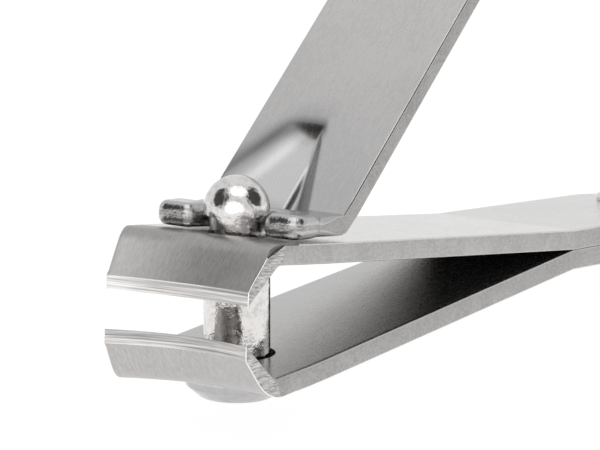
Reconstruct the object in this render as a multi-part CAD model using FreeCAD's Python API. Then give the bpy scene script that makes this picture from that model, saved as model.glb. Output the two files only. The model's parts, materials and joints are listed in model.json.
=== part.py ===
# Lever nail clipper, millimetres.
# Working frame: the lower arm lies level with its inner face at Z = 0, the jaws point along +X,
# the post stands on X = 0, Y = 0 and the arms meet at X = -REACH.
# At the end everything is shifted so that the middle of the bounding box floor is the origin.
import FreeCAD, Part
import os
import math

V = FreeCAD.Vector
Y_AXIS = V(0, 1, 0)

# --- driving dimensions -------------------------------------------------------------------
PLATE_T = 1.55           # thickness of the strip both arms are bent from
REACH = 42.5             # post axis back to the line where the two arms meet
OPEN_ANGLE = 10.05       # angle between the arms at rest, degrees
TAIL_DROP = 7.0          # slope of the joined tails, degrees
TAIL_LENGTH = 26.4       # joined length behind the meeting line
TAIL_CORNER_R = 5.0
MITRE_ROOM = 1.5         # tail left ahead of the meeting line before its bend is mitred

JAW_FRONT = ((49.40, 1.27), (51.92, -1.98))   # jaw outer face at the blade ends, distance and height
JAW_BACK = ((48.50, 0.0), (51.73, -3.03))     # jaw inner face at the blade ends, ends on the edge
JAW_HOLLOW = 1.0         # how far the middle of the jaw sits behind its ends
JAW_HALF = 6.05          # half length of the cutting edge
JAW_GRIND_X = 47.9       # where the sides start to be ground narrower, from the meeting line
JAW_REAR_X = 46.0        # rear and front ends of the block a jaw is cut from
JAW_FRONT_X = 56.0
PLATE_FRONT_X = 51.0     # front end of the plate before the jaw face is cut
BEVEL_LEAN = -5.0        # lean of the ground bevel at the cutting edge, degrees
EDGE_LAND = 0.10         # flat left on the cutting edge
BEND_OUTER_R = 3.8
BEND_INNER_R = 1.0

HALF_AT_BEND = 6.75      # half width of an arm where the jaw starts
HALF_AT_POST = 6.95
HALF_AT_MEET = 6.10
HALF_AT_TAIL = 5.20

POST_R = 2.50
NECK_R = 2.10
NECK_LOW = 8.05          # height where the stem narrows to the neck
HEAD_SEAT = 10.86        # underside of the domed head
DOME_CENTRE = 11.05
BUTTON_R = 3.90
BUTTON_FLOOR = -3.30
BUTTON_FLOOR_R = 2.70    # radius of the flat floor of the button
BUTTON_EDGE_H = 0.95     # height of the rounding round its floor
BUTTON_BULGE = (3.62, 0.34)   # middle of that rounding, radius and height
SEAT_GAP = 0.02          # clearance between the button and the lower arm
NECK_CONE = 0.3          # height of the cone from the stem to the neck
LOWER_HOLE_R = 2.90
UPPER_HOLE_R = 2.66
UPPER_SLOT = 0.80        # length of the straight part of the hole in the upper arm
UPPER_HOLE_SET = 0.12    # the hole sits this far behind the post axis, for the swing of the arm

LEVER_T = 1.55
LEVER_HALF = 5.90
LEVER_TIP_HALF = 5.45
LEVER_TIP_R = 4.2        # corner radius at the thumb end
FOOT_RISE = 8.0          # the foot climbs forward by this angle, degrees
FOOT_FLOOR = 9.27        # underside of the foot on the post axis
STRIP_RISE = 33.2        # the lever strip climbs backward by this angle, degrees
FOLD_X = -6.0            # inner corner between foot and strip
FOLD_R = 0.8
STRIP_LENGTH = 56.0
PRONG_TIP_R = 1.0        # outer corner radius of a prong end
PRONG_TIP_X = 1.5
SLOT_MOUTH_HALF = 3.0
SLOT_HALF = 2.22
SLOT_BACK_X = -3.9
SLOT_BACK_R = 1.2
SLOT_FLARE_X = -1.0
SLOT_FLARE_R = 0.6
SLOT_MOUTH_X = 1.5
TIP_EDGE_R = 0.3         # rounding of the thumb end, seen from the side
NOSE_EDGE_R = 0.35       # rounding of the prong ends, seen from the side

DENT_DEPTH = 0.95        # stiffening dent pressed into the outer face of the strip
DENT_START = 0.35        # distance above the fold
RIB_DEPTH = 0.45         # rib that stands out under the dent
RIB_START = 1.9
DENT_APEX = 8.3          # top corner of the dent above the fold
DENT_SHOULDER = (7.9, 2.5)    # upper side corners, distance above the fold and half width
DENT_HIP = (3.0, 4.7)    # lower side corners
DENT_FLOOR_TOP = 6.4     # top of the valley floor
DENT_FLOOR_SHARE = 0.75  # depth of the valley floor there, against the full depth

EYELET_X = 21.8          # eyelet axis behind the meeting line
EYELET_R = 2.0
EYELET_BORE_R = 1.5
EYELET_FLANGE_R = 3.1
EYELET_FLANGE_T = 0.55
EYELET_FLARE = 0.1       # how much wider a flange is at its outer face
EYELET_LIP_R = 0.25

ROOM = 9.0               # half width of a cutting block, wider than every piece
LONG = 70.0              # length of a cutting block, longer than an arm
TOLERANCE = 1e-4


def polygon_prism(points, half):
    """Prism along Y with the given X, Z outline."""
    corners = [V(x, -half, z) for x, z in points]
    wire = Part.makePolygon(corners + [corners[0]])
    return Part.Face(wire).extrude(V(0, 2 * half, 0))


def rounded_outline(points):
    """Closed wire in the X, Z plane; each point is x, z, corner radius."""
    edges = []
    ends = []
    count = len(points)
    for i in range(count):
        x, z, r = points[i]
        here = V(x, 0, z)
        before = V(points[i - 1][0], 0, points[i - 1][1])
        after = V(points[(i + 1) % count][0], 0, points[(i + 1) % count][1])
        if r == 0:
            ends.append((here, here, None))
            continue
        a = (before - here).normalize()
        b = (after - here).normalize()
        half = a.getAngle(b) / 2
        reach = r / math.tan(half)
        middle = (a + b).normalize()
        crown = here + middle * (r / math.sin(half) - r)
        ends.append((here + a * reach, here + b * reach, crown))
    for i in range(count):
        start, stop, crown = ends[i]
        if crown is not None:
            edges.append(Part.Arc(start, crown, stop).toShape())
        nxt = ends[(i + 1) % count][0]
        if stop.distanceToPoint(nxt) > TOLERANCE:
            edges.append(Part.makeLine(stop, nxt))
    return Part.Wire(edges)


def rounded_prism(points, half):
    """Prism along Y with a rounded X, Z outline."""
    face = Part.Face(rounded_outline(points))
    face.translate(V(0, -half, 0))
    return face.extrude(V(0, 2 * half, 0))


def plan_prism(half, low, high):
    """Upright prism whose X, Y outline is a half outline mirrored in Y; points are x, y, radius."""
    outline = half + [(x, -y, r) for x, y, r in reversed(half)]
    face = Part.Face(rounded_outline(outline))
    face.rotate(V(0, 0, 0), V(1, 0, 0), -90)
    face.translate(V(0, 0, low))
    return face.extrude(V(0, 0, high - low))


def hollow_cylinder(start, along):
    """Cylinder ahead of a jaw face, its wall through a slanted line at the blade ends."""
    ahead = V(-along.z, 0, along.x)
    hollow = JAW_HOLLOW * abs(along.z)
    radius = (JAW_HALF ** 2 + hollow ** 2) / (2 * hollow)
    base = start + ahead * (radius - hollow) - along * 2 * ROOM
    cylinder = Part.makeCylinder(radius, 4 * ROOM, base, along)
    cylinder.rotate(base, along, 180)
    return cylinder


def jaw_cylinder(line):
    """Hollow cylinder of one jaw face given by two points at the blade ends."""
    (u0, w0), (u1, w1) = line
    return hollow_cylinder(V(u0, 0, w0), V(u1 - u0, 0, w1 - w0).normalize())


def jaw_block():
    """Curved jaw blade before its sides are ground, arm frame, arm inner face at Z = 0.

    Its edge is trimmed along the plane through the meeting line, so two jaws close edge on edge.
    """
    back = jaw_cylinder(JAW_BACK)
    front = jaw_cylinder(JAW_FRONT)
    slope = JAW_BACK[1][1] / JAW_BACK[1][0]
    window = [
        (JAW_REAR_X, PLATE_T),
        (JAW_FRONT_X, PLATE_T),
        (JAW_FRONT_X, JAW_FRONT_X * slope),
        (JAW_REAR_X, JAW_REAR_X * slope),
    ]
    return polygon_prism(window, ROOM).common(back).cut(front)


def bevel_tool():
    """Leaning cylinder that grinds the bevel down to the cutting edge."""
    edge_x, edge_z = JAW_BACK[1]
    lean = math.radians(BEVEL_LEAN)
    along = V(math.sin(lean), 0, -math.cos(lean))
    return hollow_cylinder(V(edge_x + EDGE_LAND, 0, edge_z), along)


def arm_outline_prism():
    """Upright prism with the plan of an arm, ground narrower along the jaw."""
    half = [
        (-MITRE_ROOM, HALF_AT_MEET, 0),
        (0.0, HALF_AT_MEET, 0),
        (REACH, HALF_AT_POST, 0),
        (JAW_GRIND_X, HALF_AT_BEND, 0),
        (JAW_BACK[1][0], JAW_HALF, 0),
        (JAW_FRONT_X, JAW_HALF, 0),
    ]
    return plan_prism(half, -ROOM, ROOM)


def arm_front():
    """Front of an arm with its jaw, inner face at Z = 0, meeting line at X = 0, jaw downward."""
    plate = Part.makeBox(PLATE_FRONT_X, 2 * ROOM, PLATE_T, V(0, -ROOM, 0))
    front = jaw_cylinder(JAW_FRONT)
    solid = plate.cut(front).fuse(jaw_block()).removeSplitter()
    solid = solid.cut(bevel_tool())
    solid = soften_bends(solid)
    return solid.common(arm_outline_prism())


def bend_edges(solid, height):
    """Cross edges of the jaw bend that lie in the plane of one arm face."""
    found = []
    for edge in solid.Edges:
        box = edge.BoundBox
        level = abs(box.ZMax - height) < TOLERANCE and box.ZLength < TOLERANCE
        if level and box.YLength > JAW_HALF and box.XMin > REACH:
            found.append(edge)
    return found


def soften_bends(solid):
    """Round the outside and the inside of the jaw bend."""
    solid = solid.makeFillet(BEND_OUTER_R, bend_edges(solid, PLATE_T))
    return solid.makeFillet(BEND_INNER_R, bend_edges(solid, 0))


def tail_plate(low, high):
    """Tail of an arm in the tail frame, with the eyelet hole; the arms' common face is Z = 0."""
    half = [
        (MITRE_ROOM, HALF_AT_MEET, 0),
        (0.0, HALF_AT_MEET, 0),
        (-TAIL_LENGTH, HALF_AT_TAIL, TAIL_CORNER_R),
    ]
    hole = Part.makeCylinder(EYELET_R, 4 * PLATE_T, V(-EYELET_X, 0, -2 * PLATE_T))
    return plan_prism(half, low, high).cut(hole)


def mitre(lean, way):
    """Everything ahead (way 1) or behind (way -1) of a plane through the meeting line, leaning forward."""
    drift = ROOM * math.tan(math.radians(lean))
    return polygon_prism([(-drift, -ROOM), (drift, ROOM), (way * LONG, ROOM), (way * LONG, -ROOM)], ROOM)


def tail_frame(shape):
    """Tilt a shape from the tail frame about the meeting line and set it in place."""
    shape.rotate(V(0, 0, 0), Y_AXIS, -TAIL_DROP)
    shape.translate(V(-REACH, 0, 0))
    return shape


def lower_arm():
    """Lower arm: level plate, jaw turned up, tail dropping to the eyelet."""
    front = arm_front().mirror(V(0, 0, 0), V(0, 0, 1)).common(mitre(-TAIL_DROP / 2, 1))
    tail = tail_plate(-PLATE_T, 0)
    tail.rotate(V(0, 0, 0), Y_AXIS, -TAIL_DROP)
    tail = tail.common(mitre(-TAIL_DROP / 2, -1))
    arm = front.fuse(tail).removeSplitter()
    arm.translate(V(-REACH, 0, 0))
    return arm.cut(Part.makeCylinder(LOWER_HOLE_R, 3 * PLATE_T, V(0, 0, -2 * PLATE_T)))


def upper_arm():
    """Springing front of the upper arm, from the meeting line to its jaw."""
    front = arm_front().common(mitre((OPEN_ANGLE - TAIL_DROP) / 2, 1))
    tilt = math.radians(OPEN_ANGLE)
    centre = (REACH + PLATE_T / 2 * math.sin(tilt)) / math.cos(tilt) - UPPER_HOLE_SET
    for step in (-UPPER_SLOT / 2, UPPER_SLOT / 2):
        front = front.cut(Part.makeCylinder(UPPER_HOLE_R, 3 * PLATE_T, V(centre + step, 0, -PLATE_T)))
    slot_corner = V(centre - UPPER_SLOT / 2, -UPPER_HOLE_R, -PLATE_T)
    front = front.cut(Part.makeBox(UPPER_SLOT, 2 * UPPER_HOLE_R, 3 * PLATE_T, slot_corner))
    front.rotate(V(0, 0, 0), Y_AXIS, -OPEN_ANGLE)
    front.translate(V(-REACH, 0, 0))
    return front


def upper_arm_tail():
    """Clamped tail of the upper arm, from the meeting line back over the eyelet."""
    return tail_frame(tail_plate(0, PLATE_T).common(mitre(-(OPEN_ANGLE - TAIL_DROP) / 2, -1)))


def post():
    """Round post: button foot, stem, neck for the fork and domed head, one turned piece."""
    seat = -PLATE_T - SEAT_GAP
    top = V(0, 0, DOME_CENTRE + POST_R)
    foot = V(0, 0, BUTTON_FLOOR)
    floor_rim = V(BUTTON_FLOOR_R, 0, BUTTON_FLOOR)
    bulge = V(BUTTON_BULGE[0], 0, BUTTON_FLOOR + BUTTON_BULGE[1])
    profile = [
        V(BUTTON_R, 0, BUTTON_FLOOR + BUTTON_EDGE_H),
        V(BUTTON_R, 0, seat),
        V(POST_R, 0, seat),
        V(POST_R, 0, NECK_LOW - NECK_CONE),
        V(NECK_R, 0, NECK_LOW),
        V(NECK_R, 0, HEAD_SEAT),
        V(POST_R, 0, HEAD_SEAT),
        V(POST_R, 0, DOME_CENTRE),
    ]
    edges = [Part.makeLine(foot, floor_rim), Part.Arc(floor_rim, bulge, profile[0]).toShape()]
    for start, stop in zip(profile, profile[1:]):
        edges.append(Part.makeLine(start, stop))
    slant = POST_R * math.sin(math.radians(45))
    crown = V(slant, 0, DOME_CENTRE + slant)
    edges.append(Part.Arc(profile[-1], crown, top).toShape())
    edges.append(Part.makeLine(top, foot))
    return Part.Face(Part.Wire(edges)).revolve(V(0, 0, 0), V(0, 0, 1), 360)


def lever_lines():
    """Corner points of the lever section: inner fold, outer fold, tip and prong ends."""
    foot = math.tan(math.radians(FOOT_RISE))
    strip = math.tan(math.radians(STRIP_RISE))
    foot_drop = LEVER_T / math.cos(math.radians(FOOT_RISE))
    strip_drop = LEVER_T / math.cos(math.radians(STRIP_RISE))
    fold = V(FOLD_X, 0, FOOT_FLOOR + foot_drop + foot * FOLD_X)
    strip_at_zero = fold.z + strip * FOLD_X - strip_drop
    heel_x = (strip_at_zero - FOOT_FLOOR) / (foot + strip)
    heel = V(heel_x, 0, FOOT_FLOOR + foot * heel_x)
    return fold, heel


def strip_frame(shape):
    """Move a shape built with the strip's inner face on Z = 0, running back along -X, onto the lever."""
    fold = lever_lines()[0]
    shape.rotate(V(0, 0, 0), Y_AXIS, STRIP_RISE)
    shape.translate(fold)
    return shape


def foot_frame(shape):
    """Move a shape built with the foot's top face on Z = 0 onto the lever."""
    rise = math.tan(math.radians(FOOT_RISE))
    top = FOOT_FLOOR + LEVER_T / math.cos(math.radians(FOOT_RISE))
    shape.rotate(V(0, 0, 0), Y_AXIS, -FOOT_RISE)
    shape.translate(V(0, 0, top))
    return shape


def lever_sheet():
    """Lever strip and foot as one folded sheet of full width."""
    fold, heel = lever_lines()
    back = V(-math.cos(math.radians(STRIP_RISE)), 0, math.sin(math.radians(STRIP_RISE)))
    under = V(-math.sin(math.radians(STRIP_RISE)), 0, -math.cos(math.radians(STRIP_RISE)))
    ahead = V(math.cos(math.radians(FOOT_RISE)), 0, math.sin(math.radians(FOOT_RISE)))
    down = V(math.sin(math.radians(FOOT_RISE)), 0, -math.cos(math.radians(FOOT_RISE)))
    tip = fold + back * STRIP_LENGTH
    tip_under = tip + under * LEVER_T
    nose = fold + ahead * ((PRONG_TIP_X - fold.x) / ahead.x)
    nose_under = nose + down * LEVER_T
    outline = [
        (tip.x, tip.z, TIP_EDGE_R),
        (fold.x, fold.z, FOLD_R),
        (nose.x, nose.z, NOSE_EDGE_R),
        (nose_under.x, nose_under.z, NOSE_EDGE_R),
        (heel.x, heel.z, FOLD_R + LEVER_T),
        (tip_under.x, tip_under.z, TIP_EDGE_R),
    ]
    return rounded_prism(outline, LEVER_HALF)


def fork_slot():
    """Slot between the prongs: straight round the neck, flared to the mouth."""
    half = [
        (SLOT_BACK_X, SLOT_HALF, SLOT_BACK_R),
        (SLOT_FLARE_X, SLOT_HALF, SLOT_FLARE_R),
        (SLOT_MOUTH_X, SLOT_MOUTH_HALF, 0),
        (2 * SLOT_MOUTH_X, SLOT_MOUTH_HALF, 0),
    ]
    return foot_frame(plan_prism(half, -2 * LEVER_T, 2 * LEVER_T))


def prong_corner(side):
    """Sharp outer corner of one prong end, taken off to leave a round one."""
    centre_x = PRONG_TIP_X - PRONG_TIP_R
    centre_y = side * (LEVER_HALF - PRONG_TIP_R)
    reach = 2 * PRONG_TIP_R
    low_y = centre_y if side > 0 else centre_y - reach
    block = Part.makeBox(reach, reach, 4 * LEVER_T, V(centre_x, low_y, -2 * LEVER_T))
    keep = Part.makeCylinder(PRONG_TIP_R, 4 * LEVER_T, V(centre_x, centre_y, -2 * LEVER_T))
    return foot_frame(block.cut(keep))


def strip_trim():
    """Everything outside the plan of the strip: slight taper and rounded tip."""
    half = [
        (2 * ROOM, LEVER_HALF + 1, 0),
        (0.0, LEVER_HALF, 0),
        (-STRIP_LENGTH, LEVER_TIP_HALF, LEVER_TIP_R),
    ]
    shell = Part.makeBox(LONG + ROOM, 2 * ROOM, ROOM, V(-LONG, -ROOM, -ROOM / 2))
    return strip_frame(shell.cut(plan_prism(half, -ROOM, ROOM)))


def dent(depth, start, floor):
    """Pressed gusset: a V valley from a blunt apex down to the fold, strip frame."""
    apex = V(-DENT_APEX, 0, floor)
    low_apex = V(-DENT_FLOOR_TOP, 0, floor - DENT_FLOOR_SHARE * depth)
    low_fold = V(-start, 0, floor - depth)
    faces = []
    rim = []
    for side in (1, -1):
        shoulder = V(-DENT_SHOULDER[0], side * DENT_SHOULDER[1], floor)
        hip = V(-DENT_HIP[0], side * DENT_HIP[1], floor)
        foot = V(-start, side * DENT_HIP[1], floor)
        rim.append((shoulder, hip, foot))
        faces.append(flat_face((apex, shoulder, low_apex)))
        faces.append(flat_face((shoulder, hip, low_apex)))
        faces.append(flat_face((hip, low_fold, low_apex)))
        faces.append(flat_face((hip, foot, low_fold)))
    (shoulder, hip, foot), (far_shoulder, far_hip, far_foot) = rim
    faces.append(flat_face((apex, shoulder, hip, foot, far_foot, far_hip, far_shoulder)))
    faces.append(flat_face((foot, low_fold, far_foot)))
    solid = Part.Solid(Part.Shell(faces))
    if solid.Volume < 0:
        solid.reverse()
    return strip_frame(solid)


def flat_face(corners):
    """Flat face through its corners."""
    corners = list(corners)
    return Part.Face(Part.makePolygon(corners + corners[:1]))


def lever():
    """Lever: forked foot under the post head, fold, stiffening dent and thumb strip."""
    solid = lever_sheet().cut(strip_trim())
    solid = solid.cut(dent(DENT_DEPTH, DENT_START, 0))
    solid = solid.fuse(dent(RIB_DEPTH, RIB_START, -LEVER_T)).removeSplitter()
    solid = solid.cut(fork_slot())
    for side in (1, -1):
        solid = solid.cut(prong_corner(side))
    return solid


def tail_eyelet():
    """Hollow eyelet rolled over above and below the joined tails."""
    high = PLATE_T + EYELET_FLANGE_T
    inner_flange = EYELET_FLANGE_R - EYELET_FLARE
    outline = [
        (EYELET_BORE_R, -high, EYELET_LIP_R),
        (EYELET_FLANGE_R, -high, EYELET_LIP_R),
        (inner_flange, -PLATE_T, 0),
        (EYELET_R, -PLATE_T, 0),
        (EYELET_R, PLATE_T, 0),
        (inner_flange, PLATE_T, 0),
        (EYELET_FLANGE_R, high, EYELET_LIP_R),
        (EYELET_BORE_R, high, EYELET_LIP_R),
    ]
    ring = Part.Face(rounded_outline(outline)).revolve(V(0, 0, 0), V(0, 0, 1), 360)
    ring.translate(V(-EYELET_X, 0, 0))
    return tail_frame(ring)


def build():
    """All pieces in the working frame."""
    return {
        "lower_arm": lower_arm(),
        "upper_arm": upper_arm(),
        "upper_arm_tail": upper_arm_tail(),
        "post": post(),
        "lever": lever(),
        "tail_eyelet": tail_eyelet(),
    }


pieces = build()
whole = Part.makeCompound(list(pieces.values())).optimalBoundingBox(True, False)
shift = V(-(whole.XMin + whole.XMax) / 2, -(whole.YMin + whole.YMax) / 2, -whole.ZMin)
os.makedirs("parts", exist_ok=True)
for name, shape in pieces.items():
    shape.translate(shift)
    shape.exportStep("parts/" + name + ".step")
    print(name, shape.ShapeType, shape.isValid(), round(shape.Volume, 2))
print("shift", round(shift.x, 4), round(shift.y, 4), round(shift.z, 4))
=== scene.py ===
# Lever nail clipper: looks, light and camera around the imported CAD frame. Metres, part frame, Z up.
import json
import math
import bpy
import bmesh
import numpy as np
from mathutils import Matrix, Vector
from mathutils.geometry import delaunay_2d_cdt

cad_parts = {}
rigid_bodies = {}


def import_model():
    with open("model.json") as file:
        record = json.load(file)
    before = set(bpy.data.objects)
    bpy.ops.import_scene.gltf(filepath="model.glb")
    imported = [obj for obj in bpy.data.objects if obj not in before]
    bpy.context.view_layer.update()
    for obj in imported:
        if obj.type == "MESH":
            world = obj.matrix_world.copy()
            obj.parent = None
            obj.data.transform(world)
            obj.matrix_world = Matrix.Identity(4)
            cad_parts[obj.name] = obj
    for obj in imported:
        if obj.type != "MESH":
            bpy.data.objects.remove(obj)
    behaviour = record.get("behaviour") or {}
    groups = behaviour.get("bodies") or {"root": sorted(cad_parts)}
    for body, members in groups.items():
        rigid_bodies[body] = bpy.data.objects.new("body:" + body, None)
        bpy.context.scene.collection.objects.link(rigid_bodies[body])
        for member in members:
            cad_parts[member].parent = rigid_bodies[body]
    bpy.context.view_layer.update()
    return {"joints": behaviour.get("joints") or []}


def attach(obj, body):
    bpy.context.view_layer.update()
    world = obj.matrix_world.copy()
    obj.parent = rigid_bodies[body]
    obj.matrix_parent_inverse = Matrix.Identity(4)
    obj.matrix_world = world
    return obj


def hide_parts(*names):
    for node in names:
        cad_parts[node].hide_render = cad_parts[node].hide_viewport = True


for leftover in list(bpy.data.objects):
    bpy.data.objects.remove(leftover)

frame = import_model()

MM = 0.001
JOINTS = {joint["name"]: joint for joint in frame["joints"]}
HINGE_LINE = Vector(JOINTS["jaw_close"]["pos_m"])       # where the two arms meet
LEVER_PIVOT = Vector(JOINTS["lever_press"]["pos_m"])
ORIGIN = Vector((LEVER_PIVOT.x, 0, HINGE_LINE.z))       # post axis on the lower arm's inner face

VIEW_AZIMUTH = 119.0
VIEW_ELEVATION = 12.8
VIEW_WIDTH = 45.1 * MM    # width of the view at the subject
VIEW_CENTRE = ORIGIN + Vector((-9.71, 0, 7.83)) * MM
VIEW_DISTANCE = 0.9

ROOM_LIGHT = 0.85
ROOM_COLOUR = (0.98, 0.99, 1.0)
GAP_COLOUR = (0.085, 0.08, 0.075)
ROOM_GAPS = ((42.73, 36.48), (199.56, 34.71))    # azimuth and elevation of the dark gaps
GAP_EDGE = (math.cos(math.radians(33)), math.cos(math.radians(25)))
LAMP_DISTANCE = 0.5


# --- clipper dimensions, millimetres and degrees --------------------------------------------
# They repeat the CAD model's own, apart from the worn edges and the upper jaw's tighter bend.
# Along an arm, X is the distance ahead of the line where the two arms meet.

PLATE_T = 1.55
OPEN_ANGLE = 10.05       # between the arms, ahead of the meeting line
TAIL_DROP = 7.0          # of the joined tails, behind it
TAIL_LENGTH = 26.4
TAIL_CORNER_R = 5.0
TAIL_END_TRIM = 0.03     # off the very end, where the rounded outline would close to a point
POST_X = (LEVER_PIVOT.x - HINGE_LINE.x) / MM            # post axis ahead of the meeting line
HALF_AT_MEET = 6.10
HALF_AT_POST = 6.95
HALF_AT_BEND = 6.75
HALF_AT_TAIL = 5.20
JAW_FRONT = (Vector((49.40, 1.27)), Vector((51.92, -1.98)))   # outer jaw face, distance and height
JAW_BACK = (Vector((48.50, 0.0)), Vector((51.73, -3.03)))     # inner jaw face down to the edge
JAW_HOLLOW = 1.0         # depth of the hollow blade behind its ends
HOLLOW_START_X = 36.0    # the hollow fades in along the plate from here
HOLLOW_FADE = 8.0
JAW_HALF = 6.05
JAW_GRIND_X = 47.9       # the sides are ground ahead of here
EDGE_LAND = 0.10         # flat left at the cutting edge
BEVEL_SHARE = 0.72       # share of the inner jaw face that lies opposite the outer one
LOWER_BEND_R = 3.8
UPPER_BEND_R = 2.6
BEND_INNER_R = 1.0
SIDE_R = 0.10            # worn edge along the arms
JAW_SIDE_R = 0.07        # sharper edge round the ground jaws
BEND_SIDE_R = 0.28       # extra rounding of that edge at the upper jaw's bend, near side
LOWER_HOLE_R = 2.90
UPPER_HOLE_R = 2.66
UPPER_SLOT = 0.80        # straight length of the slotted hole
UPPER_HOLE_SET = 0.12    # how far its middle sits behind the post axis

LEVER_T = 1.55
LEVER_HALF = 5.90
LEVER_TIP_HALF = 5.45
LEVER_TIP_R = 4.2
FOOT_RISE = 8.0
STRIP_RISE = 33.2
FOLD_X = -6.0
FOLD_R = 0.8
STRIP_LENGTH = 56.0
FOOT_TOP = (LEVER_PIVOT.z - HINGE_LINE.z) / MM          # top of the foot on the post axis
FOLD_ON_FOOT = FOLD_X / math.cos(math.radians(FOOT_RISE))    # fold in the foot's own plane
FOLD = Vector((FOLD_X, FOOT_TOP + FOLD_X * math.tan(math.radians(FOOT_RISE))))
FOLD_HALF = FOLD_R * math.tan(math.radians((FOOT_RISE + STRIP_RISE) / 2))
PRONG_TIP_X = 1.5
PRONG_TIP_R = 1.0
PRONG_INNER_R = 0.85
PRONG_ROUND = 0.60       # worn edge round the prongs
STRIP_ROUND = 0.16       # crisp edge along the strip
CROWN = 0.30             # how much the fork ends stand up beside the post head
SPREAD = 0.05            # and how much they spread, as a share of their width
SLOT_HALF = 2.22
SLOT_MOUTH_HALF = 3.0
SLOT_MOUTH_LEAN = 0.3    # how fast the mouth goes on widening past the prong ends
SLOT_BACK_X = -3.9
SLOT_BACK_R = 1.2
SLOT_FLARE_X = -1.0
SLOT_FLARE_R = 1.1

POST_R = 2.50
NECK_R = 2.10
NECK_LOW = 8.05
NECK_CONE = 0.3
HEAD_SEAT = 10.86
HEAD_EDGE_R = 0.10
DOME_CENTRE = 11.05
BUTTON_R = 3.90
BUTTON_FLOOR = -3.30
BUTTON_FLOOR_R = 2.7
BUTTON_BULGE = 0.9       # fillets of the button, from its floor up
BUTTON_EDGE_R = 0.35
BUTTON_TOP_R = 0.12
BUTTON_EDGE_H = 1.0
GAP = 0.02               # left to a touching piece, and on the axis of a turned one

EYELET_X = 21.8          # behind the meeting line
EYELET_R = 2.0
EYELET_BORE_R = 1.5
EYELET_FLANGE_R = 3.1
EYELET_FLANGE_T = 0.55
EYELET_LIP_R = 0.25
EYELET_FLARE = 0.1       # the flange is that much narrower against the plate
EYELET_SEAT_R = 0.05

# Fineness of the meshes
FACE_STEPS = 6
BEND_STEPS = 10
BEVEL_STEPS = 3
CORNER_STEPS = 8         # round corners of the lever's outline
FILLET_STEPS = 5         # fillets of turned pieces
TAIL_STEPS = 14          # along a tail's rounded end
ACROSS = 40              # steps across an arm
HOLE_STEPS = 64
LATHE_STEPS = 128
DOME_STEPS = 24
SIDE_ANGLES = (90, 60, 30)               # round side edges of the arms
ROUND_ANGLES = (90, 72, 54, 36, 18, 0)   # round edges of the lever
PLATE_STEP = 2.0
SHARP_ANGLE = math.radians(38)


# --- mesh helpers ---------------------------------------------------------------------------

def finish_mesh(name, points, faces, zones, materials):
    """Object from points in millimetres of the working frame; zones give each face's material."""
    mesh = bpy.data.meshes.new(name)
    mesh.from_pydata([ORIGIN + Vector(p) * MM for p in points], [], faces)
    for material in materials:
        mesh.materials.append(material)
    mesh.polygons.foreach_set("material_index", zones)
    work = bmesh.new()
    work.from_mesh(mesh)
    bmesh.ops.recalc_face_normals(work, faces=work.faces)
    for face in work.faces:
        face.smooth = True
    work.to_mesh(mesh)
    work.free()
    mesh.set_sharp_from_angle(angle=SHARP_ANGLE)
    piece = bpy.data.objects.new(name, mesh)
    bpy.context.scene.collection.objects.link(piece)
    return piece


def turned(x, z, degrees):
    """A point of the X, Z plane turned so that its front rises by an angle."""
    c, s = math.cos(math.radians(degrees)), math.sin(math.radians(degrees))
    return Vector((x * c - z * s, x * s + z * c))


def cut_hole(piece, radius, straight, centre, rise, depth=3 * PLATE_T):
    """Cut a round or slotted hole through a piece; centre in the working frame."""
    outline = []
    for i in range(HOLE_STEPS):
        a = 2 * math.pi * (i + 0.5) / HOLE_STEPS
        shift = math.copysign(straight / 2, math.cos(a))
        outline.append((radius * math.cos(a) + shift, radius * math.sin(a)))
    points = []
    for z in (-depth / 2, depth / 2):
        for x, y in outline:
            flat = turned(x, z, rise)
            points.append(Vector((centre[0] + flat.x, y, centre[1] + flat.y)))
    n = HOLE_STEPS
    faces = [tuple(range(n)), tuple(range(n, 2 * n))]
    faces += [(i, (i + 1) % n, n + (i + 1) % n, n + i) for i in range(n)]
    cutter = finish_mesh("cutter", points, faces, [0] * len(faces), [])
    hole = piece.modifiers.new("hole", "BOOLEAN")
    hole.operation = "DIFFERENCE"
    hole.solver = "EXACT"
    hole.object = cutter
    bpy.context.view_layer.update()
    evaluated = piece.evaluated_get(bpy.context.evaluated_depsgraph_get())
    mesh = bpy.data.meshes.new_from_object(evaluated)
    piece.modifiers.clear()
    piece.data = mesh
    mesh.set_sharp_from_angle(angle=SHARP_ANGLE)
    bpy.data.objects.remove(cutter)


# --- arms -----------------------------------------------------------------------------------
# An arm is a ladder of (outer, inner) point pairs from its rear end to its cutting edge, in the
# arm frame: distance ahead of the meeting line and height, the inner face at 0, the jaw downward.

def arc_points(corner, towards_before, towards_after, radius, steps):
    """Points of a fillet at a corner between two directions."""
    half = towards_before.angle(towards_after) / 2
    reach = radius / math.tan(half)
    centre = corner + (towards_before + towards_after).normalized() * (radius / math.sin(half))
    start = corner + towards_before * reach - centre
    stop = corner + towards_after * reach - centre
    sweep = math.copysign(math.pi - 2 * half, start.cross(stop))
    points = []
    for i in range(steps + 1):
        a = sweep * i / steps
        c, s = math.cos(a), math.sin(a)
        points.append(centre + Vector((start.x * c - start.y * s, start.x * s + start.y * c)))
    return points


def between(a, b, steps):
    """Points after a, up to b, in equal steps."""
    return [a.lerp(b, (i + 1) / steps) for i in range(steps)]


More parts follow.
